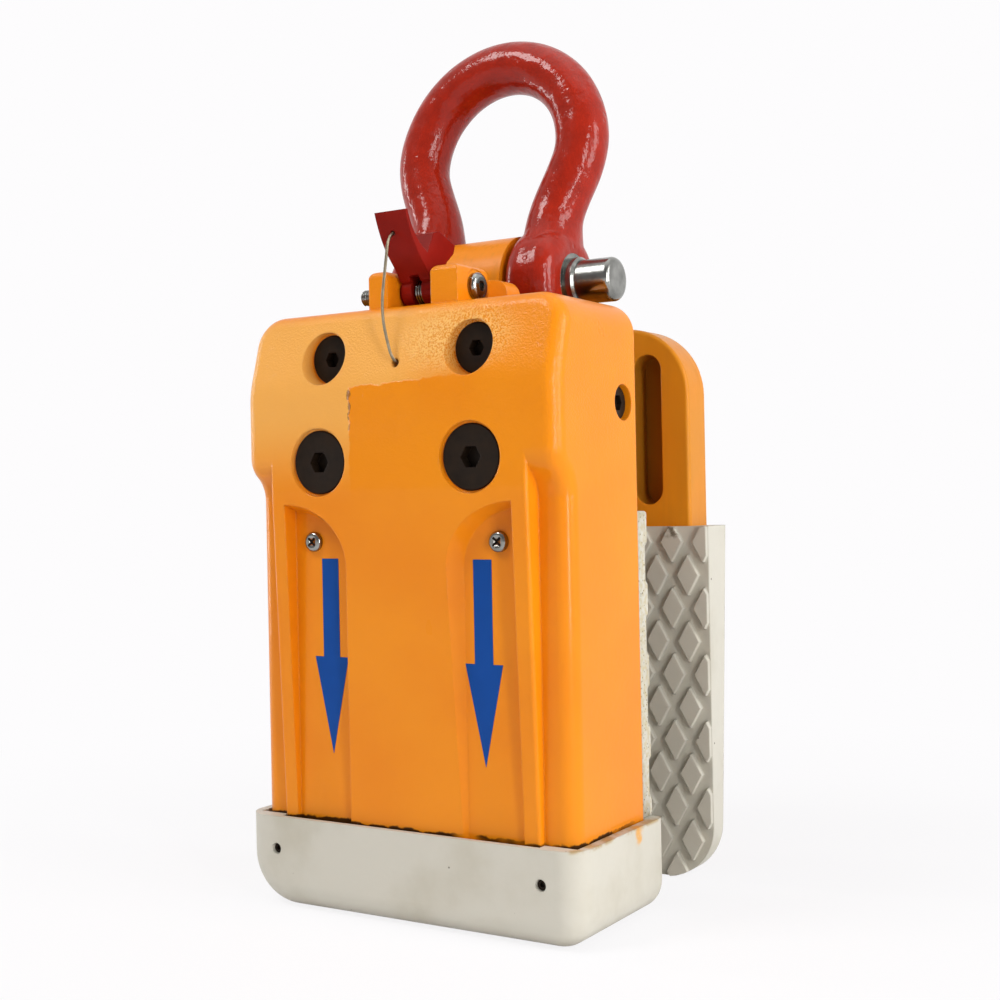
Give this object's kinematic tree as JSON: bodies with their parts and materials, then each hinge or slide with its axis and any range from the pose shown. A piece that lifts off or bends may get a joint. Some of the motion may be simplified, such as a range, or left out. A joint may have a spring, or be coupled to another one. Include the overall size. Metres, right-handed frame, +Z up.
{
  "type": "slab lifting clamp",
  "caption": "Gravity slab lifting clamp: bow shackle and lug raise a carriage on inclined rails that draws the rear jaw to the front pad; a sprung latch sits on top.",
  "frame": {"origin": "middle of the footprint's bounding box, at the level the toe boot and the rear pad stand on", "axes": "+Z up towards the shackle, +Y from the front casing to the rear jaw plate, +X along the shackle pin towards its head"},
  "size_m": [0.16, 0.1421, 0.3698],
  "materials": {
    "amber_paint": "glossy amber enamel on cast iron",
    "red_paint": "glossy red enamel on forged steel",
    "dark_red_paint": "dark red enamel",
    "grey_rubber": "pale grey moulded polyurethane",
    "black_rubber": "black rubber",
    "black_oxide_steel": "black oxide",
    "bright_steel": "bright zinc plated",
    "plain_steel": "machined steel",
    "bronze": "machined bronze"
  },
  "bodies": {
    "front_jaw": {"backing_plate": "plain_steel", "boot_screw_left": "black_oxide_steel", "boot_screw_right": "black_oxide_steel", "bump_stop_left": "black_rubber", "bump_stop_right": "black_rubber", "channel_screw_left": "bright_steel", "channel_screw_right": "bright_steel", "cover_screw_left_high": "black_oxide_steel", "cover_screw_left_low": "black_oxide_steel", "cover_screw_right_high": "black_oxide_steel", "cover_screw_right_low": "black_oxide_steel", "front_casing": "amber_paint", "front_pad": "grey_rubber", "guide_rail_left": "plain_steel", "guide_rail_right": "plain_steel", "latch_nut": "bright_steel", "latch_pin": "bright_steel", "latch_spring": "bright_steel", "latch_wire": "bright_steel", "lower_screw_left": "black_oxide_steel", "lower_screw_right": "black_oxide_steel", "rear_cover_left": "plain_steel", "rear_cover_right": "plain_steel", "side_screw_left": "black_oxide_steel", "side_screw_right": "black_oxide_steel", "spacer_left": "bright_steel", "spacer_right": "bright_steel", "spring_sleeve": "bright_steel", "toe_boot": "grey_rubber", "upper_screw_left": "black_oxide_steel", "upper_screw_right": "black_oxide_steel"},
    "carriage": {"jaw_bolt_left_high": "black_oxide_steel", "jaw_bolt_left_low": "black_oxide_steel", "jaw_bolt_right_high": "black_oxide_steel", "jaw_bolt_right_low": "black_oxide_steel", "lift_carriage": "amber_paint", "lug_bush": "bronze", "rear_jaw_plate": "amber_paint", "rear_pad": "grey_rubber", "shoe_pin_left": "plain_steel", "shoe_pin_right": "plain_steel", "slide_shoe_left": "bronze", "slide_shoe_right": "bronze"},
    "shackle": {"shackle_bow": "red_paint", "shackle_pin": "bright_steel", "pin_collar": "bright_steel"},
    "latch": {"latch_hook": "dark_red_paint"}
  },
  "joints": [
    {"name": "jaw_slide", "type": "slide", "parent": "front_jaw", "child": "carriage", "axis": [0, -0.5, 0.866], "range_m": [0, 0.044]},
    {"name": "shackle_swing", "type": "hinge", "parent": "carriage", "child": "shackle", "pos_m": [0, 0.0058, 0.2574], "axis": [1, 0, 0], "range_deg": [-75, 65]},
    {"name": "latch_turn", "type": "hinge", "parent": "front_jaw", "child": "latch", "pos_m": [0, -0.0446, 0.252], "axis": [1, 0, 0], "range_deg": [0, 35], "stiffness_Nm_per_rad": 0.08, "springref_deg": -34.38, "deforming": ["latch_wire"]}
  ]
}
